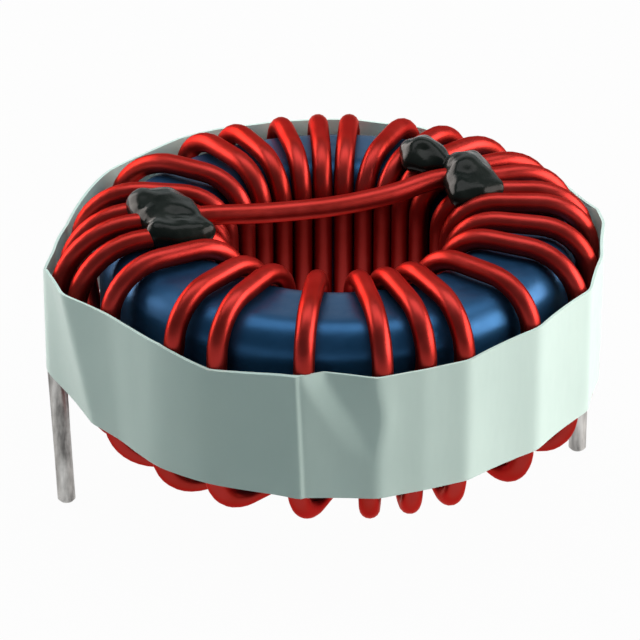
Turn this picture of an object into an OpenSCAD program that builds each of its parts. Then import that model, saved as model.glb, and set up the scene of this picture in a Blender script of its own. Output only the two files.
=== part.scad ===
// Fixed inductor: a coated ring core wound with enamelled wire, banded with tape,
// the crossing wire held by two dabs of glue, standing on its own two tinned wire ends.
//
// Millimetres, +Z up. Z = 0 is the underside of the winding, where the part meets the
// circuit board. The origin lies midway between the two leads and X runs through both.

/* [Core] */
// Outside diameter of the coated ring
core_od = 27; // [24:0.5:32]
// Bore of the coated ring
core_bore_d = 14.5; // [13:0.25:16]
// Height of the coated ring
core_h = 10.4; // [8:0.2:14]
// Rounding of the ring's four edges
core_edge_r = 1.8; // [1:0.1:2.2]

/* [Wire] */
// Diameter of the wire over its enamel
wire_d = 1.16; // [0.9:0.02:1.2]
// Slack between the wire and the core
lay_gap = 0.12; // [0.12:0.02:0.4]
// How far the turns hang below the ring, over and above that slack
foot_slack = 0.46; // [0:0.02:0.6]
// How much wider than high a turn's bends are
bend_ease = 0.2; // [0:0.05:0.2]
// How much larger a loose turn's outer bends are, against how far it stands off the rim
loose_bend = 1.2; // [0:0.1:1.5]
// Sides of the wire's cross-section
wire_sides = 8; // [6:1:12]
// Straight steps in each quarter bend
bend_steps = 4; // [2:1:6]

/* [Leads] */
// Gap between the ring and the wire above the right lead
right_lead_gap = 0.42; // [0.2:0.02:3]
// Gap between the ring and the wire above the left lead
left_lead_gap = 1.82; // [1.6:0.02:3]
// Diameter of a tinned lead
lead_d = 1.1; // [0.8:0.05:1.2]
// Length of a lead below the winding
lead_len = 4; // [3:0.5:8]
// How far a lead's tin reaches up behind the tape
lead_tuck = 0.2; // [0:0.1:1]

/* [Tape] */
// Width of the tape band
tape_w = 7.4; // [5:0.1:9]
// Thickness of the wrapped tape
tape_t = 0.16; // [0.1:0.02:0.3]
// How far the band's middle rides above the coil's middle
tape_rise = 0.34; // [0:0.02:0.5]
// How far the band rides up at the back and down in front
tape_tilt = 0.84; // [0:0.02:1]
// How far a 5 mm span of tape is drawn in between two turns
tape_sag = 0.14; // [0:0.02:0.3]

/* [Glue] */
// Size of the dabs against the size they were laid at
glue_size = 1; // [0.7:0.05:1.2]

/* [Hidden] */

// The turns lie as a hand laid them, clockwise seen from above, in degrees about the coil's
// axis: where each one stands outside the ring, and where it goes down through the bore.
turn_out = [0, -7, -21, -35, -54, -73, -82, -92, -109, -129, -140, -161, -174,
            -191, -204, -225, -244, -254, -267, -277, -285, -300, -312, -324, -338, -347];
turn_in = [14, 0, -17, -33, -56, -71, -83, -94, -110, -127, -141, -159, -173,
           -195, -210, -228, -241, -253, -264, -274.5, -285, -295.5, -306, -316.5, -328];
// How loosely each turn stands off the rim, in wire diameters. The first is set by its lead.
turn_loose = [0, 0.2, 0.1, 0.35, 0.1, 0.1, 0, 0.2, 0, 0, 0.1, 0.35, 0.95,
              0.95, 0.8, 1, 0.5, 0.4, 0.1, 0.2, 0.1, 0.2, 0.3, 0.5, 0.4, 0.3];
// How far off the rim a loose turn's foot may stand, in wire diameters, however loose its top is
foot_loose = 0.1;
// How far each outer upright leans from its top to its foot, in degrees
turn_lean = [0, 1.5, 1.5, 1.5, 1.5, 1.5, 2.8, 2.8, 1.5, 1, 4.5, 1.5, 1.5,
             1.5, 1.5, 1.5, 1.5, 1.5, 1.5, 1.5, 1.5, 1.5, 1.5, 1.5, 1.5, 1.5];
// How far the tape's top edge stands over its even line at each upright, in tape widths
edge_lift = [0.02, 0.06, 0.04, 0.03, 0.03, 0, 0, 0, 0.01, -0.05, 0.03, 0.02, 0.05,
             -0.04, -0.08, 0.01, 0.04, 0.03, 0.02, 0, 0, -0.03, -0.08, -0.08, -0.08, -0.08];
// The same for its bottom edge
low_lift = [0, 0, 0, 0, 0, 0, 0, 0, 0, 0, 0, 0, 0.09,
            0.16, 0.08, 0.03, 0, 0, 0, 0, 0, 0, 0, 0, 0, 0];
// The way of the crossing wire: x and y from the coil's axis in core radii, and height over
// the top layer in wire diameters
cross_way = [[0.74, 0.21, 0], [0.49, 0.19, 0.26], [0.25, 0.125, 0], [0, 0.08, -0.1], [-0.28, 0.055, 0],
             [-0.52, 0.035, 0.25], [-0.7, 0.04, 0.2]];
cross_steps = 4;
// Angle at which the crossing wire goes down over the rim to the left lead
cross_out = 176.5;
// Lumps of the dabs: x and y from the coil's axis in core radii, height over the top layer and
// radius in wire diameters. The first one of a list is its middle, and the others stand round
// it in order.
left_lumps = [[-0.71, 0.1, 0.32, 1], [-0.79, 0.17, 0.3, 0.85], [-0.75, 0.185, 0.35, 0.75],
              [-0.69, 0.18, 0.33, 0.75], [-0.64, 0.1, 0.25, 0.75], [-0.62, -0.03, 0.2, 0.7],
              [-0.58, -0.09, 0.15, 0.55], [-0.68, -0.1, 0.2, 0.65], [-0.74, -0.04, 0.2, 0.75],
              [-0.79, 0.09, 0.2, 0.8]];
right_lumps = [[0.6, 0.18, 0.5, 0.95], [0.58, 0.27, 0.5, 0.65], [0.645, 0.28, 0.5, 0.6],
               [0.675, 0.22, 0.4, 0.5], [0.67, 0.13, 0.25, 0.6], [0.695, 0.06, 0.15, 0.5],
               [0.62, 0.04, 0.15, 0.65], [0.54, 0.035, 0.1, 0.6], [0.54, 0.15, 0.25, 0.6]];
far_lumps = [[0.45, 0.38, 0.6, 0.9], [0.42, 0.435, 0.55, 0.65], [0.475, 0.445, 0.6, 0.65],
             [0.51, 0.4, 0.55, 0.55], [0.53, 0.31, 0.4, 0.5], [0.45, 0.32, 0.35, 0.5],
             [0.41, 0.365, 0.4, 0.6]];
glue_facets = 14;
// How far the glue runs down below the middle of the top layer, in wire diameters
glue_run = 0.3;
// Room left between the glue and the wire, and between the tape and the wire
skin = 0.03;
tape_skin = 0.11;

wire_r = wire_d / 2;
core_r = core_od / 2;
coil_h = core_h + 2 * lay_gap + 2 * wire_d + foot_slack;
coil_z = coil_h - wire_d - lay_gap - core_h / 2;
top_z = coil_h - wire_r;
foot_z = wire_r;
bore_r = core_bore_d / 2 - lay_gap - wire_r;
rim_r = core_r + lay_gap + wire_r;
// Where the leads stand: each one from the coil's axis, how far apart, and how far the coil's axis
// lies to the right of their middle
right_r = core_r + right_lead_gap + wire_r;
left_r = core_r + left_lead_gap + wire_r;
lead_spacing = right_r + left_r;
coil_x = (left_r - right_r) / 2;
// Height of a bend that follows the ring's edge
bend_h = core_edge_r + lay_gap + wire_r;
last = len(turn_out) - 1;
// Groove that the wire leaves in the glue, wide enough for the wire whichever way its sides lie
groove_d = (wire_d + 2 * skin) / cos(180 / wire_sides);
lead_tip = lead_d / 8;
// Height above the board at which the enamel ends, behind the tape where it rides highest
lead_top = coil_z + tape_rise + tape_tilt - tape_w / 2 + lead_tuck;

function polar(r, a) = [r * cos(a), r * sin(a)];
function stand_off(i) = i == 0 ? right_r - rim_r : turn_loose[i] * wire_d;
function post(i) = polar(rim_r + stand_off(i), turn_out[i]);
function foot_off(i) = min(stand_off(i), foot_loose * wire_d);
function foot(i) = polar(rim_r + foot_off(i), turn_out[i] - turn_lean[i]);
function bore(i) = polar(bore_r, turn_in[i]);
function lift(p, z) = [p[0], p[1], z];

// Quarter bend out of an upright at p, loose by the given length, into a level run towards q, and
// the same one reversed
function bend(p, q, loose, z, side) = let (u = (q - p) / norm(q - p), h = bend_h + loose_bend * loose)
    [for (k = [0:bend_steps]) let (t = 90 * k / bend_steps)
        lift(p + u * (h + bend_ease) * (1 - cos(t)), z - side * h * (1 - sin(t)))];
function reversed(v) = [for (k = [len(v) - 1:-1:0]) v[k]];

// Half turns: over the top from the rim into the bore, and under the foot back to the rim
function over(i) = concat(bend(post(i), bore(i), stand_off(i), top_z, 1),
                          reversed(bend(bore(i), post(i), 0, top_z, 1)));
function under(i) = concat(bend(bore(i), foot(i + 1), 0, foot_z, -1),
                           reversed(bend(foot(i + 1), bore(i), foot_off(i + 1), foot_z, -1)));

// Smooth way through the crossing wire's points
function spline(a, b, c, d, t) = 0.5 * (2 * b + (c - a) * t + (2 * a - 5 * b + 4 * c - d) * t * t
                                        + (3 * b - a - 3 * c + d) * t * t * t);
function through(v) = [for (k = [1:len(v) - 3]) for (s = [0:cross_steps - 1])
    spline(v[k - 1], v[k], v[k + 1], v[k + 2], s / cross_steps)];

cross_pts = [for (p = cross_way) [p[0] * core_r, p[1] * core_r, top_z + p[2] * wire_d]];
cross_post = polar(left_r, cross_out);
cross_up = bend(post(last), [cross_pts[0][0], cross_pts[0][1]], stand_off(last), top_z, 1);
cross_end = cross_pts[len(cross_pts) - 1];
cross_down = reversed(bend(cross_post, [cross_end[0], cross_end[1]], left_r - rim_r, top_z + lay_gap, 1));
cross_route = concat(cross_up,
                     through(concat([cross_up[bend_steps]], cross_pts, [cross_down[0], cross_down[1]])),
                     cross_down);

// The whole wire, from the right lead up, round the ring and across to the left lead
route = concat([lift(polar(right_r, 0), lead_top)],
               [for (i = [0:last - 1]) each concat(over(i), under(i))],
               cross_route,
               [lift(polar(left_r, 180), lead_top)]);

function unit(v) = v / norm(v);
function headings(way) = let (n = len(way) - 1)
    [for (k = [0:n]) k == 0 || k == n ? [0, 0, way[min(k + 1, n)][2] > way[max(k - 1, 0)][2] ? 1 : -1]
        : unit(unit(way[k + 1] - way[k]) + unit(way[k] - way[k - 1]))];
function level(v, t) = unit(v - t * (v * t));
// Sideways direction at each point, carried along the way without twisting
function sideways(t) = [for (k = 0, v = level([0.3, 1, 0], t[0]); k < len(t);
    k = k + 1, v = k < len(t) ? level(v, t[k]) : v) v];

// Round bar of diameter d along a way
module bar(way, d) {
    t = headings(way);
    v = sideways(t);
    n = len(way);
    m = wire_sides;
    rings = [for (k = [0:n - 1]) let (w = cross(t[k], v[k])) for (j = [0:m - 1])
        way[k] + d / 2 * (v[k] * cos(360 * j / m) + w * sin(360 * j / m))];
    skin_faces = [for (k = [0:n - 2]) for (j = [0:m - 1]) let (e = (j + 1) % m)
        each [[k * m + j, (k + 1) * m + j, (k + 1) * m + e], [k * m + j, (k + 1) * m + e, k * m + e]]];
    polyhedron(rings, concat(skin_faces, [[for (j = [0:m - 1]) j]],
                             [[for (j = [m - 1:-1:0]) (n - 1) * m + j]]), convexity = 10);
}

module winding() {
    color([0.72, 0.08, 0.06]) translate([coil_x, 0, 0]) bar(route, wire_d);
}

module toroid_core() {
    low = coil_z - core_h / 2;
    wall = (core_od - core_bore_d) / 2;
    e = core_edge_r;
    color([0.1, 0.22, 0.4]) translate([coil_x, 0, low]) rotate_extrude($fn = 96)
        translate([core_bore_d / 2, 0]) union() {
            translate([e, 0]) square([wall - 2 * e, core_h]);
            translate([0, e]) square([wall, core_h - 2 * e]);
            for (x = [e, wall - e], y = [e, core_h - e]) translate([x, y]) circle(e, $fn = 32);
        }
}

// What the tape is wound round: each upright's angle, the tape's inner radius there, the lifts of its
// top and bottom edges, and how far the tape keeps its own roundness beside it, from 0 to 1
tape_r = wire_r + tape_skin;
function roundness(i) = max(0, min(1, 2.5 * turn_loose[i] - 1));
function lead_posts(i) = [[-180, left_r + tape_r, edge_lift[i - 1], low_lift[i], 1],
                          [cross_out - 360, left_r + tape_r, edge_lift[i], low_lift[i], 1]];
posts = concat([[0, right_r + tape_r, edge_lift[0], low_lift[0], 0]],
    [for (i = [1:last]) each concat(turn_out[i] < -180 && turn_out[i - 1] > -180 ? lead_posts(i) : [],
        [[turn_out[i] - turn_lean[i] / 2, rim_r + stand_off(i) + tape_r, edge_lift[i], low_lift[i],
          roundness(i)]])]);

// The band's outline: a corner over every upright and one in each span, drawn in a little or, between
// loose turns, standing round. Each one has its place and the two lifts.
function span(p, q) = let (a = polar(p[1], p[0]), b = polar(q[1], q[0]), mid = (a + b) / 2,
                           drawn = norm(mid) - tape_sag * pow(norm(b - a) / 5, 2))
    [unit(mid) * (drawn + ((p[1] + q[1]) / 2 - drawn) * min(p[4], q[4])),
     (p[2] + q[2]) / 2, (p[3] + q[3]) / 2];
outline = [for (i = [0:len(posts) - 1]) let (p = posts[i], q = posts[(i + 1) % len(posts)])
    each [[polar(p[1], p[0]), p[2], p[3]], span(p, q)]];
// Angle towards which the band is tilted up
tape_high = 59;
function tape_mid(p) = coil_z + tape_rise + tape_tilt * cos(atan2(p[1], p[0]) - tape_high);

module tape_band() {
    n = len(outline);
    pts = [for (s = outline) let (p = s[0], q = p + unit(p) * tape_t, mid = tape_mid(p),
                                  low = mid + tape_w * (s[2] - 0.5), high = mid + tape_w * (s[1] + 0.5))
        each [lift(p, low), lift(p, high), lift(q, high), lift(q, low)]];
    sides = [for (i = [0:n - 1]) let (a = 4 * i, b = 4 * ((i + 1) % n)) for (j = [0:3]) let (e = (j + 1) % 4)
        each [[a + j, b + e, b + j], [a + j, a + e, b + e]]];
    color([0.66, 0.75, 0.71]) translate([coil_x, 0, 0]) polyhedron(pts, sides, convexity = 6);
}

module lump(p) {
    translate([p[0] * core_r, p[1] * core_r, top_z + p[2] * wire_d])
        sphere(p[3] * wire_d * glue_size, $fn = glue_facets);
}

// A dab's skin: each two lumps that stand side by side are drawn together with the middle one
module blob(lumps) {
    n = len(lumps) - 1;
    for (k = [1:n]) hull() { lump(lumps[0]); lump(lumps[k]); lump(lumps[k % n + 1]); }
}

// Glue takes the wire's shape where it wets it and runs down between the turns, but not to the core
module set_on_wire() {
    floor_z = top_z - glue_run * wire_d;
    difference() {
        intersection() {
            union() children();
            translate([-core_od, -core_od, floor_z]) cube([2 * core_od, 2 * core_od, coil_h]);
        }
        for (i = [0:last - 1])
            bar(concat([lift(post(i), coil_z)], over(i), [lift(bore(i), coil_z)]), groove_d);
        bar(concat([lift(post(last), coil_z)], cross_route, [lift(cross_post, coil_z)]), groove_d);
    }
}

module left_glue_dab() {
    color([0.09, 0.1, 0.09]) translate([coil_x, 0, 0]) set_on_wire() blob(left_lumps);
}

module right_glue_dab() {
    color([0.09, 0.1, 0.09]) translate([coil_x, 0, 0]) set_on_wire() { blob(right_lumps); blob(far_lumps); }
}

// Bared and tinned end of the wire, standing straight down through the board. Above the board it
// grows to the wire's own thickness.
module lead(side) {
    color([0.72, 0.72, 0.7]) translate([side * lead_spacing / 2, 0, 0]) {
        cylinder(h = lead_top, d1 = lead_d, d2 = wire_d, $fn = 48);
        translate([0, 0, lead_tip - lead_len]) cylinder(h = lead_len - lead_tip, d = lead_d, $fn = 48);
        translate([0, 0, -lead_len])
            cylinder(h = lead_tip, d1 = lead_d - 2 * lead_tip, d2 = lead_d, $fn = 48);
    }
}

module left_lead() { lead(-1); }

module right_lead() { lead(1); }

toroid_core();
winding();
tape_band();
left_glue_dab();
right_glue_dab();
left_lead();
right_lead();
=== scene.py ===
"""Fixed inductor, dressed for its picture: coated ring core, enamelled winding, film tape, glue dabs
and tinned leads, on a plain white floor. Lengths are written in millimetres and drawn in metres."""

import math

import bmesh
import bpy
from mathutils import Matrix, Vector, noise


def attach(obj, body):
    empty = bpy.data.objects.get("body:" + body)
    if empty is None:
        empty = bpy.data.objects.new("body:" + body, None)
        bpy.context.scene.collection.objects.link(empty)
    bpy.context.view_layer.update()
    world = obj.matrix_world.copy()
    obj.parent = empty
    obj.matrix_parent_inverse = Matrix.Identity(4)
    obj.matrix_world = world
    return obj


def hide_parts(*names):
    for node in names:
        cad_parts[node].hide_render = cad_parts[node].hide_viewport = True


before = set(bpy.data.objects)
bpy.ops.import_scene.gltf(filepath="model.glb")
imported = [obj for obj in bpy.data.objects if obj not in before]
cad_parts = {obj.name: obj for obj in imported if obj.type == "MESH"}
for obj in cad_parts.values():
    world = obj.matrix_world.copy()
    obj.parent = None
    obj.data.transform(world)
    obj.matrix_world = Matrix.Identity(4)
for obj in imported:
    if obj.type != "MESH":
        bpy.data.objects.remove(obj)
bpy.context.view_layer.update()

MM = 0.001

# Sizes of the part, as in its source
CORE_OD, CORE_BORE_D, CORE_H, CORE_EDGE_R = 27.0, 14.5, 10.4, 1.8
WIRE_D, LAY_GAP, FOOT_SLACK, BEND_EASE, LOOSE_BEND = 1.16, 0.12, 0.46, 0.2, 1.2
RIGHT_LEAD_GAP, LEFT_LEAD_GAP, LEAD_D, LEAD_LEN, LEAD_TUCK = 0.42, 1.82, 1.1, 4.0, 0.2
TAPE_W, TAPE_T, TAPE_RISE, TAPE_TILT, TAPE_SAG, TAPE_HIGH = 7.4, 0.16, 0.34, 0.84, 0.14, 59.0
GLUE_RUN, TAPE_SKIN, FOOT_LOOSE = 0.3, 0.11, 0.1

# How the turns lie, in degrees about the coil's axis, and how loosely, in wire diameters
TURN_OUT = [0, -7, -21, -35, -54, -73, -82, -92, -109, -129, -140, -161, -174,
            -191, -204, -225, -244, -254, -267, -277, -285, -300, -312, -324, -338, -347]
TURN_IN = [14, 0, -17, -33, -56, -71, -83, -94, -110, -127, -141, -159, -173,
           -195, -210, -228, -241, -253, -264, -274.5, -285, -295.5, -306, -316.5, -328]
TURN_LOOSE = [0, 0.2, 0.1, 0.35, 0.1, 0.1, 0, 0.2, 0, 0, 0.1, 0.35, 0.95,
              0.95, 0.8, 1, 0.5, 0.4, 0.1, 0.2, 0.1, 0.2, 0.3, 0.5, 0.4, 0.3]
# How far each outer upright leans from its top to its foot, in degrees
TURN_LEAN = [0, 1.5, 1.5, 1.5, 1.5, 1.5, 2.8, 2.8, 1.5, 1, 4.5, 1.5, 1.5,
             1.5, 1.5, 1.5, 1.5, 1.5, 1.5, 1.5, 1.5, 1.5, 1.5, 1.5, 1.5, 1.5]
# Lift of the tape's top and bottom edges at each upright, in tape widths
EDGE_LIFT = [0.02, 0.06, 0.04, 0.03, 0.03, 0, 0, 0, 0.01, -0.05, 0.03, 0.02, 0.05,
             -0.04, -0.08, 0.01, 0.04, 0.03, 0.02, 0, 0, -0.03, -0.08, -0.08, -0.08, -0.08]
LOW_LIFT = [0, 0, 0, 0, 0, 0, 0, 0, 0, 0, 0, 0, 0.09,
            0.16, 0.08, 0.03, 0, 0, 0, 0, 0, 0, 0, 0, 0, 0]
# The crossing wire, the angle at which it goes down the left side, and the glue's lumps: x and y in
# core radii, height and radius in wire diameters
CROSS_WAY = [(0.74, 0.21, 0), (0.49, 0.19, 0.26), (0.25, 0.125, 0), (0, 0.08, -0.1), (-0.28, 0.055, 0),
             (-0.52, 0.035, 0.25), (-0.7, 0.04, 0.2)]
CROSS_OUT = 176.5
LEFT_LUMPS = [(-0.71, 0.1, 0.32, 1), (-0.79, 0.17, 0.3, 0.85), (-0.75, 0.185, 0.35, 0.75),
              (-0.69, 0.18, 0.33, 0.75), (-0.64, 0.1, 0.25, 0.75), (-0.62, -0.03, 0.2, 0.7),
              (-0.58, -0.09, 0.15, 0.55), (-0.68, -0.1, 0.2, 0.65), (-0.74, -0.04, 0.2, 0.75),
              (-0.79, 0.09, 0.2, 0.8)]
RIGHT_LUMPS = [(0.6, 0.18, 0.5, 0.95), (0.58, 0.27, 0.5, 0.65), (0.645, 0.28, 0.5, 0.6),
               (0.675, 0.22, 0.4, 0.5), (0.67, 0.13, 0.25, 0.6), (0.695, 0.06, 0.15, 0.5),
               (0.62, 0.04, 0.15, 0.65), (0.54, 0.035, 0.1, 0.6), (0.54, 0.15, 0.25, 0.6)]
FAR_LUMPS = [(0.45, 0.38, 0.6, 0.9), (0.42, 0.435, 0.55, 0.65), (0.475, 0.445, 0.6, 0.65),
             (0.51, 0.4, 0.55, 0.55), (0.53, 0.31, 0.4, 0.5), (0.45, 0.32, 0.35, 0.5),
             (0.41, 0.365, 0.4, 0.6)]
# Lobes that swell out of the glue's skin, each one drawn tight over its own lumps
LEFT_LOBES = [[(-0.79, 0.165, 0.3, 0.92), (-0.79, 0.1, 0.25, 0.85)],
              [(-0.765, -0.08, 0.15, 0.75), (-0.7, -0.11, 0.15, 0.7), (-0.61, -0.1, 0.15, 0.62)]]
RIGHT_LOBES = [[(0.45, 0.385, 0.55, 0.95)], [(0.59, 0.22, 0.45, 0.95)],
               [(0.6, 0.07, 0.15, 0.75), (0.69, 0.07, 0.15, 0.56)]]
# Dimples where the glue drew in as it set: x, y and z about the coil's axis, reach and depth
LEFT_DIMPLES = [(-9.35, -0.4, 13.5, 0.55, 0.5), (-8.6, -0.6, 13.4, 0.45, 0.3),
                (-10.9, 1.35, 13.4, 0.5, 0.35)]
RIGHT_DIMPLES = [(6.0, 4.6, 14.2, 0.5, 0.3), (7.9, 1.35, 13.9, 0.5, 0.25)]

# What follows from the sizes
WIRE_R, CORE_R = WIRE_D / 2, CORE_OD / 2
COIL_H = CORE_H + 2 * LAY_GAP + 2 * WIRE_D + FOOT_SLACK
COIL_Z = COIL_H - WIRE_D - LAY_GAP - CORE_H / 2
TOP_Z, FOOT_Z = COIL_H - WIRE_R, WIRE_R
BORE_R = CORE_BORE_D / 2 - LAY_GAP - WIRE_R
RIM_R = CORE_R + LAY_GAP + WIRE_R
RIGHT_R = CORE_R + RIGHT_LEAD_GAP + WIRE_R
LEFT_R = CORE_R + LEFT_LEAD_GAP + WIRE_R
LEAD_SPACING, COIL_X = RIGHT_R + LEFT_R, (LEFT_R - RIGHT_R) / 2
BEND_H = CORE_EDGE_R + LAY_GAP + WIRE_R
LEAD_TOP = COIL_Z + TAPE_RISE + TAPE_TILT - TAPE_W / 2 + LEAD_TUCK
LEAD_TIP = LEAD_D / 8
GLUE_FLOOR = TOP_Z - GLUE_RUN * WIRE_D
LAST = len(TURN_OUT) - 1


def polar(r, degrees):
    """Flat point at a radius and an angle about the coil's axis."""
    a = math.radians(degrees)
    return Vector((r * math.cos(a), r * math.sin(a)))


def lifted(p, z):
    """The flat point p at height z."""
    return Vector((p[0], p[1], z))


def wobble(x, y, z):
    """Smooth noise of about -1 to 1, the same in each run."""
    return noise.noise(Vector((x, y, z)))


def mesh_object(name, verts, faces, material, crease=40):
    """New object from millimetre points about the coil's axis, smooth but for edges sharper than
    crease, in degrees."""
    mesh = bpy.data.meshes.new(name)
    mesh.from_pydata([((v[0] + COIL_X) * MM, v[1] * MM, v[2] * MM) for v in verts], [], faces)
    mesh.validate()
    mesh.update()
    mesh.polygons.foreach_set("use_smooth", [True] * len(mesh.polygons))
    mesh.set_sharp_from_angle(angle=math.radians(crease))
    mesh.materials.append(material)
    obj = bpy.data.objects.new(name, mesh)
    bpy.context.collection.objects.link(obj)
    return obj


def dress(obj, slot, *nodes):
    """Let a piece ride with the part and hide the solids that it stands for."""
    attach(obj, "root")
    if nodes:
        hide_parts(*nodes)


class Shader:
    """A Principled material with a few short ways to add procedural detail to it."""

    def __init__(self, name, **values):
        self.material = bpy.data.materials.new(name)
        self.material.use_nodes = True
        self.tree = self.material.node_tree
        self.bsdf = self.tree.nodes["Principled BSDF"]
        for socket, value in values.items():
            self.bsdf.inputs[socket.replace("_", " ")].default_value = value
        self.coords = self.tree.nodes.new("ShaderNodeTexCoord").outputs["Object"]

    def node(self, kind, **values):
        n = self.tree.nodes.new(kind)
        for socket, value in values.items():
            n.inputs[socket.replace("_", " ")].default_value = value
        return n

    def link(self, a, b):
        self.tree.links.new(a, b)

    def noise(self, per_mm, detail=3.0, rough=0.55, stretch=None):
        """Noise with about per_mm cells to the millimetre."""
        n = self.node("ShaderNodeTexNoise", Scale=per_mm / MM, Detail=detail, Roughness=rough)
        source = self.coords
        if stretch:
            m = self.node("ShaderNodeMapping", Scale=stretch)
            self.link(source, m.inputs["Vector"])
            source = m.outputs["Vector"]
        self.link(source, n.inputs["Vector"])
        return n.outputs["Fac"]

    def ramp(self, fac, *stops):
        """Colour ramp of (place, colour) stops."""
        n = self.node("ShaderNodeValToRGB")
        while len(n.color_ramp.elements) < len(stops):
            n.color_ramp.elements.new(0.5)
        for element, (place, colour) in zip(n.color_ramp.elements, stops):
            element.position = place
            element.color = (*colour, 1)
        self.link(fac, n.inputs["Fac"])
        return n.outputs["Color"]

    def between(self, fac, low, high, start=0.3, end=0.7):
        """Value that runs from low to high as fac goes from start to end."""
        n = self.node("ShaderNodeMapRange")
        n.inputs["From Min"].default_value, n.inputs["From Max"].default_value = start, end
        n.inputs["To Min"].default_value, n.inputs["To Max"].default_value = low, high
        self.link(fac, n.inputs["Value"])
        return n.outputs["Result"]

    def bump(self, fac, height_mm, strength=1.0):
        """Relief of about height_mm that follows fac."""
        n = self.node("ShaderNodeBump", Strength=strength, Distance=height_mm * MM)
        self.link(fac, n.inputs["Height"])
        self.link(n.outputs["Normal"], self.bsdf.inputs["Normal"])

    def drive(self, source, socket):
        self.link(source, self.bsdf.inputs[socket])


def make_enamel():
    """Red enamel over bright copper: the metal's own highlights show through it, tinted."""
    s = Shader("red_enamel", Metallic=0.92, IOR=1.5, Specular_Tint=(1, 0.3, 0.24, 1))
    blotch = s.noise(0.4, 3)
    s.drive(s.ramp(blotch, (0.3, (0.3, 0.021, 0.016)), (0.55, (0.355, 0.027, 0.023)),
                   (0.75, (0.4, 0.034, 0.029))), "Base Color")
    s.drive(s.between(s.noise(1.6, 3), 0.35, 0.43), "Roughness")
    s.bump(s.noise(0.8, 1), 0.004)
    return s.material


def make_core_coat():
    """Blue epoxy with a pearly lustre, a little uneven as it was sprayed."""
    s = Shader("blue_epoxy", Metallic=0.75, IOR=1.5, Specular_IOR_Level=0.3)
    blotch = s.noise(0.25, 4)
    s.drive(s.ramp(blotch, (0.3, (0.016, 0.07, 0.165)), (0.55, (0.02, 0.085, 0.195)),
                   (0.8, (0.026, 0.1, 0.225))), "Base Color")
    s.drive(s.between(s.noise(2.0, 4), 0.36, 0.46), "Roughness")
    s.bump(s.noise(0.9, 3), 0.01)
    return s.material


def make_tape():
    """Pale polyester film, satin, faintly cloudy, with long soft waves up and down it."""
    s = Shader("film_tape", IOR=1.45, Transmission_Weight=0.2, Coat_Weight=0.1, Coat_Roughness=0.3)
    cloud = s.noise(0.15, 3)
    s.drive(s.ramp(cloud, (0.3, (0.625, 0.805, 0.755)), (0.6, (0.655, 0.835, 0.785)),
                   (0.8, (0.685, 0.86, 0.8))), "Base Color")
    s.drive(s.between(s.noise(1.0, 3), 0.34, 0.46), "Roughness")
    s.bump(s.noise(0.35, 3, stretch=(1, 1, 0.35)), 0.06, 0.8)
    return s.material


def make_glue():
    """Black glue that set with a wet shine, dulled in patches."""
    s = Shader("black_glue", IOR=1.42, Specular_IOR_Level=0.14)
    patch = s.noise(0.7, 4)
    s.drive(s.ramp(patch, (0.3, (0.005, 0.007, 0.006)), (0.75, (0.011, 0.014, 0.012))), "Base Color")
    s.drive(s.between(s.noise(1.1, 3), 0.15, 0.3), "Roughness")
    s.bump(s.noise(0.9, 3), 0.05, 0.8)
    return s.material


def make_tin():
    """Dull solder, streaked along the wire where it was dipped and drawn."""
    s = Shader("tinned_wire", Metallic=0.9)
    streak = s.noise(1.6, 4, stretch=(1, 1, 0.22))
    s.drive(s.ramp(streak, (0.3, (0.13, 0.125, 0.12)), (0.5, (0.4, 0.39, 0.375)),
                   (0.7, (0.66, 0.65, 0.63))), "Base Color")
    s.drive(s.between(s.noise(4, 3), 0.28, 0.5), "Roughness")
    s.bump(s.noise(2.2, 4, stretch=(1, 1, 0.4)), 0.03)
    return s.material


ENAMEL, CORE_COAT, TAPE = make_enamel(), make_core_coat(), make_tape()
GLUE, TIN = make_glue(), make_tin()


# The wire's route, from the right lead to the left one: points to a bend and to a stretch of the
# crossing run, then about the longest step along it and the sides of the wire
BEND_STEPS, CROSS_STEPS, WIRE_STEP, WIRE_SIDES = 10, 10, 0.7, 16


def stand_off(i):
    """How far the top of outer upright i stands off the rim."""
    return RIGHT_R - RIM_R if i == 0 else TURN_LOOSE[i] * WIRE_D


def post(i):
    """Top of outer upright i."""
    return polar(RIM_R + stand_off(i), TURN_OUT[i])


def foot_off(i):
    """How far its foot stands off: a loose turn is drawn in there."""
    return min(stand_off(i), FOOT_LOOSE * WIRE_D)


def foot(i):
    """Foot of outer upright i, which leans."""
    return polar(RIM_R + foot_off(i), TURN_OUT[i] - TURN_LEAN[i])


def bore(i):
    """Where turn i goes down the bore."""
    return polar(BORE_R, TURN_IN[i])


def bend(p, q, loose, z, side):
    """Quarter bend out of an upright at p, loose by the given length, into a level run towards q."""
    u, h = (q - p).normalized(), BEND_H + LOOSE_BEND * loose
    angles = [math.pi / 2 * k / BEND_STEPS for k in range(BEND_STEPS + 1)]
    return [lifted(p + u * (h + BEND_EASE) * (1 - math.cos(t)), z - side * h * (1 - math.sin(t)))
            for t in angles]


def over(i):
    """Turn i from its outer upright over the top and into the bore."""
    return bend(post(i), bore(i), stand_off(i), TOP_Z, 1) + bend(bore(i), post(i), 0, TOP_Z, 1)[::-1]


def under(i):
    """From the bore back under the ring to the next upright."""
    return (bend(bore(i), foot(i + 1), 0, FOOT_Z, -1)
            + bend(foot(i + 1), bore(i), foot_off(i + 1), FOOT_Z, -1)[::-1])


def spline(a, b, c, d, t):
    """Point at t between b and c, on a smooth curve through a, b, c and d."""
    square, cube = 2 * a - 5 * b + 4 * c - d, 3 * b - a - 3 * c + d
    return 0.5 * (2 * b + (c - a) * t + square * t * t + cube * t ** 3)


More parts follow.
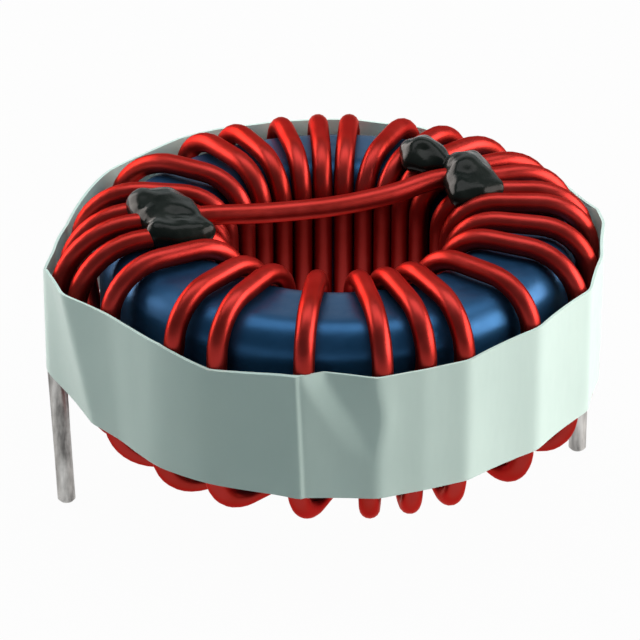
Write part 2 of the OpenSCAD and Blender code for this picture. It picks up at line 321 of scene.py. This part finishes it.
def crossing():
    """The last run: over the rim, across the hole and down the left side."""
    pts = [Vector((x * CORE_R, y * CORE_R, TOP_Z + h * WIRE_D)) for x, y, h in CROSS_WAY]
    up = bend(post(LAST), pts[0].xy, stand_off(LAST), TOP_Z, 1)
    down = bend(polar(LEFT_R, CROSS_OUT), pts[-1].xy, LEFT_R - RIM_R, TOP_Z + LAY_GAP, 1)[::-1]
    v = [up[-1]] + pts + down[:2]
    mid = [spline(v[k - 1], v[k], v[k + 1], v[k + 2], s / CROSS_STEPS)
           for k in range(1, len(v) - 2) for s in range(CROSS_STEPS)]
    return up + mid + down


def wire_route():
    """The whole way of the wire, turn by turn."""
    way = [lifted(polar(RIGHT_R, 0), LEAD_TOP)]
    for i in range(LAST):
        way += over(i) + under(i)
    return way + crossing() + [lifted(polar(LEFT_R, 180), LEAD_TOP)]


def refined(way, step):
    """The same way with its long stretches cut into about the given step."""
    out = []
    for a, b in zip(way, way[1:]):
        n = max(1, round((b - a).length / step))
        out += [a.lerp(b, k / n) for k in range(n)]
    return out + [way[-1]]


def bar_faces(rings, sides):
    """Faces of a bar made of rings of points, with flat ends."""
    faces = []
    for k in range(rings - 1):
        for j in range(sides):
            e = (j + 1) % sides
            faces.append((k * sides + j, k * sides + e, (k + 1) * sides + e, (k + 1) * sides + j))
    faces.append(tuple(range(sides))[::-1])
    faces.append(tuple((rings - 1) * sides + j for j in range(sides)))
    return faces


def tube(way, radius, sides):
    """Points and faces of a round bar along a way that starts upwards and ends downwards."""
    verts = []
    side = Vector((0.3, 1, 0))  # where each ring of points starts, carried along the way
    for k, p in enumerate(way):
        if 0 < k < len(way) - 1:
            t = ((way[k + 1] - p).normalized() + (p - way[k - 1]).normalized()).normalized()
        else:
            t = Vector((0, 0, 1 if k == 0 else -1))
        side = (side - t * side.dot(t)).normalized()
        across = t.cross(side)
        for j in range(sides):
            a = 2 * math.pi * j / sides
            verts.append(p + radius * (side * math.cos(a) + across * math.sin(a)))
    return verts, bar_faces(len(way), sides)


wire = mesh_object("winding_wire", *tube(refined(wire_route(), WIRE_STEP), WIRE_R, WIRE_SIDES), ENAMEL)
dress(wire, "enamelled_wire", "winding")


CORE_SEGMENTS = 180


def ring(profile, segments):
    """Closed profile of (radius, height) points turned round the coil's axis."""
    verts, faces, n = [], [], len(profile)
    for k in range(segments):
        a = 360 * k / segments
        verts += [lifted(polar(r, a), z) for r, z in profile]
        nxt = (k + 1) % segments
        faces += [(k * n + j, k * n + (j + 1) % n, nxt * n + (j + 1) % n, nxt * n + j) for j in range(n)]
    return verts, faces


def core_profile(steps=8, flats=6):
    """Section of the ring, with so many steps to a round edge and to a flat."""
    ri, ro, e = CORE_BORE_D / 2, CORE_R, CORE_EDGE_R
    low, high = COIL_Z - CORE_H / 2, COIL_Z + CORE_H / 2
    corners = [(ro - e, low + e, -90), (ro - e, high - e, 0),
               (ri + e, high - e, 90), (ri + e, low + e, 180)]
    arcs = []
    for x, z, start in corners:
        angles = [math.radians(start + 90 * k / steps) for k in range(steps + 1)]
        arcs.append([(x + e * math.cos(a), z + e * math.sin(a)) for a in angles])
    out = []
    for arc, nxt in zip(arcs, arcs[1:] + arcs[:1]):
        (x0, z0), (x1, z1) = arc[-1], nxt[0]
        out += arc + [(x0 + (x1 - x0) * k / flats, z0 + (z1 - z0) * k / flats) for k in range(1, flats)]
    return out


core = mesh_object("coated_core", *ring(core_profile(), CORE_SEGMENTS), CORE_COAT)
dress(core, "core_coating", "toroid_core")


# The tape's mesh: step round the coil and rows up its width, and the span that sags by TAPE_SAG
TAPE_STEP, TAPE_ROWS, SAG_SPAN = 0.09, 18, 5
# Where the film runs smoothly from turn to turn instead of bending at each one, in degrees, over how
# many degrees that starts and ends, and how far the film stands off there
SLACK_ZONES, SLACK_FADE, SLACK_PUSH = ((-160.0, -113.0), (104.0, 170.0)), 8, 0.07
# Share by which a point is eased towards its neighbours, what slack film adds to it, and how often
EASE, SLACK_EASE, EASE_PASSES = 0.07, 0.83, 150
# The fold over the loose turn at the left, which slants: its angle, inner radius and lift at the
# bottom edge and at the top edge
FOLD_TURN, FOLD_LOW, FOLD_TOP = 12, (-162.6, 15.55, 0.065), (-169.6, 16.4, 0.05)
# The cut end of the outer wrap in front: its angle at the bottom edge, slant, width and thickness, and
# over how many degrees the step fades behind it
SEAM_ANGLE, SEAM_SLANT, SEAM_WIDTH, SEAM_STEP, SEAM_FADE = -108.4, -1.2, 0.8, 0.13, 25.0
# The dent beside it: angles of its valley at the top edge and of the crease it runs into, the share
# of the tape's width at which it starts, its depth, how far it spreads on its left, and at least how
# far on its right
DENT_TOP, DENT_CREASE, DENT_START = -104.7, -94.0, 0.33
DENT_DEPTH, DENT_SPREAD, DENT_LEAST = 0.5, 5.0, 0.3
# How far the crease strays to the right, in degrees, at what share of the width, and its reach
STRAY, STRAY_AT, STRAY_TALL, STRAY_WIDE = 1.2, 0.66, 0.2, 5.0


def film_roundness(i):
    """0 where turn i is loose by 0.4 wires or less and the film is drawn in beside it, 1 from 0.8."""
    return max(0, min(1, 2.5 * TURN_LOOSE[i] - 1))


def tape_posts():
    """What the tape is wound round, clockwise from the right lead: for each upright its place under the
    bottom edge and under the top edge, the lifts of the two edges, and how far the film keeps its own
    roundness beside it, from 0 to 1."""
    grow = WIRE_R + TAPE_SKIN

    def upright(r, degrees, low, top, roundness):
        return polar(r + grow, degrees), polar(r + grow, degrees), low, top, roundness

    out = [upright(RIGHT_R, 0, LOW_LIFT[0], EDGE_LIFT[0], 0)]
    for i in range(1, LAST + 1):
        if TURN_OUT[i] < -180 < TURN_OUT[i - 1]:
            out += [upright(LEFT_R, -180, LOW_LIFT[i], EDGE_LIFT[i - 1], 1),
                    upright(LEFT_R, CROSS_OUT - 360, LOW_LIFT[i], EDGE_LIFT[i], 1)]
        if i == FOLD_TURN - 1:
            continue
        if i == FOLD_TURN:
            low, top = (polar(r, degrees) for degrees, r, _ in (FOLD_LOW, FOLD_TOP))
            out.append((low, top, FOLD_LOW[2], FOLD_TOP[2], 0))
        else:
            out.append(upright(RIM_R + stand_off(i), TURN_OUT[i] - TURN_LEAN[i] / 2,
                               LOW_LIFT[i], EDGE_LIFT[i], film_roundness(i)))
    return out


def angle_of(p):
    """Angle of p about the coil's axis, in degrees."""
    return math.degrees(math.atan2(p[1], p[0]))


def spanning(a, b, roundness, steps):
    """Points from a to b, drawn in a little between the two or standing round, without b itself."""
    sag = TAPE_SAG * ((b - a).length / SAG_SPAN) ** 2
    out = []
    for t in (k / steps for k in range(steps)):
        c = a.lerp(b, t)
        drawn = c.length - sag * 4 * t * (1 - t)
        out.append(c.normalized() * (drawn + (a.length + (b.length - a.length) * t - drawn) * roundness))
    return out


def tape_outline():
    """Inner line of the band at its bottom edge and at its top edge, and the lifts of the two edges."""
    posts, low, top, lifts = tape_posts(), [], [], []
    for p, q in zip(posts, posts[1:] + posts[:1]):
        steps = max(2, round((q[1] - p[1]).length / TAPE_STEP))
        low += spanning(p[0], q[0], min(p[4], q[4]), steps)
        top += spanning(p[1], q[1], min(p[4], q[4]), steps)
        lifts += [(p[2] + (q[2] - p[2]) * k / steps, p[3] + (q[3] - p[3]) * k / steps)
                  for k in range(steps)]
    return low, top, lifts


def eased(points, share):
    """The closed line with each point drawn towards its neighbours, by its own share, over and over."""
    for _ in range(EASE_PASSES):
        points = [p.lerp((points[k - 1] + points[(k + 1) % len(points)]) / 2, w)
                  for k, (p, w) in enumerate(zip(points, share))]
    return points


def tape_mid(p):
    """Height of the middle of the tilted band."""
    return COIL_Z + TAPE_RISE + TAPE_TILT * math.cos(math.atan2(p[1], p[0]) - math.radians(TAPE_HIGH))


def ramped(t):
    """Smooth step from 0 to 1."""
    t = min(1.0, max(0.0, t))
    return t * t * (3 - 2 * t)


def seam_height(angle, v):
    """How far the outer wrap stands over the one below, falling away round the coil from its cut end."""
    past = SEAM_ANGLE + SEAM_SLANT * v - angle
    return SEAM_STEP * ramped(past / SEAM_WIDTH) * math.exp(-past / SEAM_FADE) if past > 0 else 0.0


def dent_depth(angle, v):
    """Slanting dent in the film that runs from the top edge down into the crease over a turn."""
    s = (v - DENT_START) / (1 - DENT_START)
    if s <= 0:
        return 0.0
    valley = DENT_CREASE + (DENT_TOP - DENT_CREASE) * s
    off = angle - valley
    reach = max(DENT_LEAST, DENT_CREASE - valley) if off > 0 else DENT_SPREAD
    return DENT_DEPTH * s * max(0.0, 1 - abs(off) / reach)


def strayed(p, v):
    """The point p of the film, moved round the coil where the crease beside the dent strays."""
    off, rise = (angle_of(p) - DENT_CREASE) / STRAY_WIDE, (v - STRAY_AT) / STRAY_TALL
    return polar(p.length, angle_of(p) + STRAY * math.exp(-off * off - rise * rise))


def slackness(p):
    """1 where the film runs smoothly from turn to turn, 0 where it bends at each one."""
    a = angle_of(p)
    return max(ramped((a - start) / SLACK_FADE) * ramped((end - a) / SLACK_FADE)
               for start, end in SLACK_ZONES)


def tape_mesh():
    """Points and faces of the band: columns round the coil, each with an inner and an outer row."""
    low_line, top_line, lifts = tape_outline()
    slack = [slackness(p) for p in top_line]
    shares = [EASE + SLACK_EASE * w for w in slack]
    low_line, top_line = eased(low_line, shares), eased(top_line, shares)
    verts, faces, rows = [], [], TAPE_ROWS + 1
    for low_p, top_p, (low, top), w in zip(low_line, top_line, lifts, slack):
        for shell in (0, 1):
            for j in range(rows):
                v = j / TAPE_ROWS
                p = low_p.lerp(top_p, v)
                angle = angle_of(p)
                p = strayed(p, v)
                push = (SLACK_PUSH * w + TAPE_T * shell - dent_depth(angle, v)
                        + shell * seam_height(angle, v))
                z = tape_mid(p) + TAPE_W * ((low - 0.5) * (1 - v) + (top + 0.5) * v)
                verts.append(lifted(p + p.normalized() * push, z))
    n, width, top = len(low_line), 2 * rows, TAPE_ROWS
    for k in range(n):
        a, b = k * width, (k + 1) % n * width
        for j in range(TAPE_ROWS):
            faces.append((a + j, b + j, b + j + 1, a + j + 1))
            faces.append((a + rows + j, a + rows + j + 1, b + rows + j + 1, b + rows + j))
        faces.append((a, a + rows, b + rows, b))
        faces.append((a + top, b + top, b + rows + top, a + rows + top))
    return verts, faces


tape = mesh_object("film_tape_band", *tape_mesh(), TAPE)
dress(tape, "film_tape", "tape_band")


# The glue's skin: fineness of its balls, size of its cells, how far and how often it is smoothed, and
# the height and closeness of its ripples
BALL_DETAIL, VOXEL, SETTLE_SHARE, SETTLE_PASSES = 4, 0.08, 0.5, 18
GLUE_RIPPLE, RIPPLES_PER_MM = 0.05, 1.3


def fan(lumps):
    """Each two lumps that stand side by side, with the middle one, which is the first."""
    n = len(lumps) - 1
    return [[lumps[0], lumps[k], lumps[k % n + 1]] for k in range(1, n + 1)]


def sunk(p, dimples):
    """How far the glue's skin is drawn in at a point."""
    return sum(depth * math.exp(-((p - Vector((x, y, z))).length / reach) ** 2)
               for x, y, z, reach, depth in dimples)


def dab(name, node, lobes, dimples):
    """Lobes of glue, each one drawn tight over its lumps, melted into one skin and settled."""
    bm = bmesh.new()
    for lumps in lobes:
        part = bmesh.new()
        for x, y, z, r in lumps:
            ball = bmesh.ops.create_icosphere(part, subdivisions=BALL_DETAIL, radius=r * WIRE_D)
            place = (x * CORE_R, y * CORE_R, TOP_Z + z * WIRE_D)
            bmesh.ops.translate(part, verts=ball["verts"], vec=place)
        bmesh.ops.convex_hull(part, input=part.verts)
        bmesh.ops.delete(part, geom=[v for v in part.verts if not v.link_faces], context="VERTS")
        piece = bpy.data.meshes.new("lobe")
        part.to_mesh(piece)
        part.free()
        bm.from_mesh(piece)
        bpy.data.meshes.remove(piece)
    raw = bpy.data.meshes.new(name + "_raw")
    bm.to_mesh(raw)
    bm.free()
    tmp = bpy.data.objects.new(name + "_raw", raw)
    bpy.context.collection.objects.link(tmp)
    melt = tmp.modifiers.new("melt", "REMESH")
    melt.mode, melt.voxel_size = "VOXEL", VOXEL
    settle = tmp.modifiers.new("settle", "SMOOTH")
    settle.factor, settle.iterations = SETTLE_SHARE, SETTLE_PASSES
    done = tmp.evaluated_get(bpy.context.evaluated_depsgraph_get()).to_mesh()
    verts = [v.co + v.normal * (GLUE_RIPPLE * wobble(*(v.co * RIPPLES_PER_MM)) - sunk(v.co, dimples))
             for v in done.vertices]
    verts = [lifted(v, max(v.z, GLUE_FLOOR)) for v in verts]
    faces = [tuple(f.vertices) for f in done.polygons]
    bpy.data.objects.remove(tmp)
    bpy.data.meshes.remove(raw)
    dress(mesh_object(name, verts, faces, GLUE), "black_glue", node)


dab("left_glue", "left_glue_dab", fan(LEFT_LUMPS) + LEFT_LOBES, LEFT_DIMPLES)
dab("right_glue", "right_glue_dab", fan(RIGHT_LUMPS) + fan(FAR_LUMPS) + RIGHT_LOBES, RIGHT_DIMPLES)


# How far the top of each lead stands off the upright line through its foot, along x and y
LEAD_LEANS = {-1: Vector((-0.26, 0.62)), 1: Vector((0, 0))}
# The leads' mesh, their thickness as a share of the solids', how deep and close the solder is uneven,
# and what sets the two leads' unevenness apart
LEAD_SIDES, LEAD_RINGS, LEAD_THIN = 32, 60, 0.95
SOLDER_DEPTH, SOLDER_PER_MM, SOLDER_APART = 0.025, 0.9, 3


def lead(name, node, side):
    """Tinned wire end, a little bent and uneven where the solder ran, with a sheared tip."""
    foot_x, verts = side * LEAD_SPACING / 2 - COIL_X, []
    for k in range(LEAD_RINGS + 1):
        z = -LEAD_LEN + (LEAD_TOP + LEAD_LEN) * k / LEAD_RINGS
        r = (LEAD_D + (WIRE_D - LEAD_D) * max(0.0, z) / LEAD_TOP) / 2
        r -= max(0.0, LEAD_TIP - (z + LEAD_LEN))
        axis = Vector((foot_x, 0)) + LEAD_LEANS[side] * k / LEAD_RINGS
        for j in range(LEAD_SIDES):
            degrees = 360 * j / LEAD_SIDES
            a = math.radians(degrees)
            uneven = wobble(side * SOLDER_APART + z * SOLDER_PER_MM, math.cos(a), math.sin(a))
            share = LEAD_THIN - SOLDER_DEPTH * (1 + uneven) / 2
            verts.append(lifted(axis + polar(r * share, degrees), z))
    faces = bar_faces(LEAD_RINGS + 1, LEAD_SIDES)
    dress(mesh_object(name, verts, faces, TIN), "tinned_wire", node)


lead("left_tinned_lead", "left_lead", -1)
lead("right_tinned_lead", "right_lead", 1)


# The camera: its angles in degrees, distance, lens and film in millimetres, how far the coil stands
# right of and above the picture's middle, and what it sees, in metres
CAMERA_AZIMUTH, CAMERA_ELEVATION, CAMERA_DISTANCE, LENS, FILM = -11.6, 27.2, 234.6, 230.9, 36
FRAME_RIGHT, FRAME_UP, NEAR, FAR = 0.97, 0.83, 0.01, 20
CENTRE = Vector((COIL_X, 0, COIL_Z)) * MM


def camera_axes():
    """The camera's right, up and backward directions."""
    a, e = math.radians(CAMERA_AZIMUTH), math.radians(CAMERA_ELEVATION)
    back = Vector((math.sin(a) * math.cos(e), -math.cos(a) * math.cos(e), math.sin(e)))
    right = Vector((math.cos(a), math.sin(a), 0))
    return right, back.cross(right), back


def make_camera():
    right, up, back = camera_axes()
    data = bpy.data.cameras.new("camera")
    data.lens, data.sensor_width, data.clip_start, data.clip_end = LENS, FILM, NEAR, FAR
    cam = bpy.data.objects.new("camera", data)
    cam.location = (CENTRE + back * (CAMERA_DISTANCE * MM)
                    - right * (FRAME_RIGHT * MM) - up * (FRAME_UP * MM))
    cam.rotation_euler = back.to_track_quat("Z", "Y").to_euler()
    bpy.context.collection.objects.link(cam)
    bpy.context.scene.camera = cam


# The stage: how white the floor looks, how pale it is to the light, half its side in millimetres, and
# the surroundings' colour and level; then the lamps' colours
FLOOR_GLOW, FLOOR_COLOUR, FLOOR_HALF = 0.97, (0.28, 0.28, 0.28, 1), 3000
WORLD_COLOUR, WORLD_LEVEL = (0.7, 0.95, 1, 1), 0.22
WHITE, WARM = (1, 1, 1), (1, 0.9, 0.85)


def make_floor():
    """White to the eye and in reflections, and pale to the light, so that it keeps a soft shadow."""
    mat = bpy.data.materials.new("white_floor")
    mat.use_nodes = True
    tree = mat.node_tree
    tree.nodes.clear()
    out = tree.nodes.new("ShaderNodeOutputMaterial")
    diffuse = tree.nodes.new("ShaderNodeBsdfDiffuse")
    diffuse.inputs["Color"].default_value = FLOOR_COLOUR
    glow = tree.nodes.new("ShaderNodeEmission")
    glow.inputs["Color"].default_value = (*WHITE, 1)
    rays = tree.nodes.new("ShaderNodeLightPath")
    seen = rays.outputs["Is Camera Ray"]
    for kind in ("Is Glossy Ray", "Is Transmission Ray"):
        either = tree.nodes.new("ShaderNodeMath")
        either.operation = "MAXIMUM"
        tree.links.new(seen, either.inputs[0])
        tree.links.new(rays.outputs[kind], either.inputs[1])
        seen = either.outputs[0]
    share = tree.nodes.new("ShaderNodeMath")
    share.operation = "MULTIPLY"
    share.inputs[1].default_value = FLOOR_GLOW
    mix = tree.nodes.new("ShaderNodeMixShader")
    tree.links.new(seen, share.inputs[0])
    tree.links.new(share.outputs[0], mix.inputs["Fac"])
    tree.links.new(diffuse.outputs[0], mix.inputs[1])
    tree.links.new(glow.outputs[0], mix.inputs[2])
    tree.links.new(mix.outputs[0], out.inputs["Surface"])
    mesh = bpy.data.meshes.new("floor")
    bm = bmesh.new()
    bmesh.ops.create_grid(bm, x_segments=1, y_segments=1, size=FLOOR_HALF * MM)
    bm.to_mesh(mesh)
    bm.free()
    mesh.materials.append(mat)
    floor = bpy.data.objects.new("floor", mesh)
    floor.location.z = -LEAD_LEN * MM
    bpy.context.collection.objects.link(floor)


def make_world():
    world = bpy.data.worlds.new("studio")
    bpy.context.scene.world = world
    world.use_nodes = True
    soft = world.node_tree.nodes["Background"]
    soft.inputs["Color"].default_value = WORLD_COLOUR
    soft.inputs["Strength"].default_value = WORLD_LEVEL


def softbox(name, right_mm, up_mm, front_mm, wide_mm, high_mm, level, colour=WHITE, down=False):
    """Area light placed from the coil in the camera's directions, facing the coil or straight down.
    Its level is the brightness of its face, where 1 is white."""
    right, _, back = camera_axes()
    front = Vector((back.x, back.y, 0)).normalized()
    data = bpy.data.lights.new(name, "AREA")
    data.shape, data.size, data.size_y = "RECTANGLE", wide_mm * MM, high_mm * MM
    data.color = colour
    data.energy = level * math.pi * wide_mm * high_mm * MM * MM
    lamp = bpy.data.objects.new(name, data)
    place = right * right_mm + front * front_mm + Vector((0, 0, up_mm))
    lamp.location = CENTRE + place * MM
    if down:
        lamp.rotation_euler = (0, 0, math.radians(CAMERA_AZIMUTH))
    else:
        lamp.rotation_euler = place.to_track_quat("Z", "Y").to_euler()
    bpy.context.collection.objects.link(lamp)


make_camera()
make_floor()
make_world()
# Each lamp's place right of, above and in front of the coil, its width and height, and its level
softbox("top_panel", 0, 320, -50, 460, 180, 3.0, down=True)
softbox("back_panel", 0, 260, -520, 900, 300, 0.75)
softbox("right_softbox", 400, 130, 10, 460, 300, 7.3, WARM)
softbox("left_softbox", -350, 120, -225, 380, 260, 6.6, WARM)
bpy.context.scene.view_settings.view_transform = "Standard"
